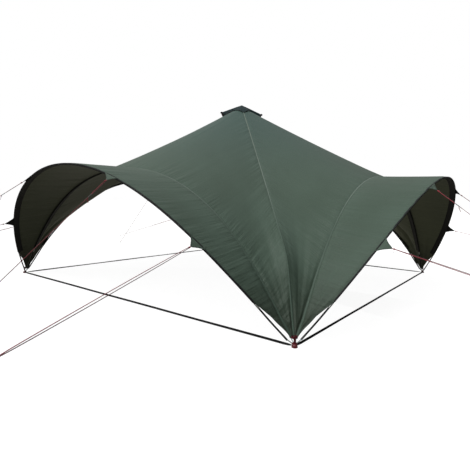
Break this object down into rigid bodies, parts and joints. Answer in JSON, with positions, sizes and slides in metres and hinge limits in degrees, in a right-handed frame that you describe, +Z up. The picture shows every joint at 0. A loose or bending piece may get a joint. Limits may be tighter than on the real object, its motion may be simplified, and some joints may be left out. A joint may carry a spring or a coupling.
{
  "type": "party tent",
  "caption": "Open four-sided party tent: a square cloth canopy on bent arch poles, with an awning over each side, corner feet, ground straps, guy lines and a capped peak",
  "frame": {"origin": "centre of the square between the four corner feet, on the ground", "axes": "+Z up, +X to the right side and -Y to the front side, both square to the sides"},
  "size_m": [15.0868, 15.0868, 3.18],
  "materials": {
    "canopy_cloth": "coated dark green polyester, fine ripstop weave",
    "cap_cloth": "coated blue-green polyester",
    "black_pole": "black pultruded glass-fibre rod",
    "red_plastic": "moulded red plastic foot",
    "black_webbing": "woven black webbing",
    "grey_steel": "galvanised steel tube",
    "red_line": "braided dark red guy line"
  },
  "bodies": {
    "root": {"roof_panel_front": "canopy_cloth", "roof_panel_right": "canopy_cloth", "roof_panel_back": "canopy_cloth", "roof_panel_left": "canopy_cloth", "awning_front": "canopy_cloth", "awning_right": "canopy_cloth", "awning_back": "canopy_cloth", "awning_left": "canopy_cloth", "vent_cap": "cap_cloth", "edge_pole_front": "black_pole", "edge_pole_right": "black_pole", "edge_pole_back": "black_pole", "edge_pole_left": "black_pole", "inner_pole_front": "black_pole", "inner_pole_right": "black_pole", "inner_pole_back": "black_pole", "inner_pole_left": "black_pole", "corner_foot_front_right": "red_plastic", "corner_foot_back_right": "red_plastic", "corner_foot_back_left": "red_plastic", "corner_foot_front_left": "red_plastic", "ground_strap_front": "black_webbing", "ground_strap_right": "black_webbing", "ground_strap_back": "black_webbing", "ground_strap_left": "black_webbing", "centre_pole": "grey_steel", "guy_lower_front_left": "red_line", "guy_lower_front_right": "red_line", "guy_lower_right_left": "red_line", "guy_lower_right_right": "red_line", "guy_lower_back_left": "red_line", "guy_lower_back_right": "red_line", "guy_lower_left_left": "red_line", "guy_lower_left_right": "red_line", "guy_upper_front_left": "red_line", "guy_upper_front_right": "red_line", "guy_upper_right_left": "red_line", "guy_upper_right_right": "red_line", "guy_upper_back_left": "red_line", "guy_upper_back_right": "red_line", "guy_upper_left_left": "red_line", "guy_upper_left_right": "red_line"}
  },
  "joints": []
}
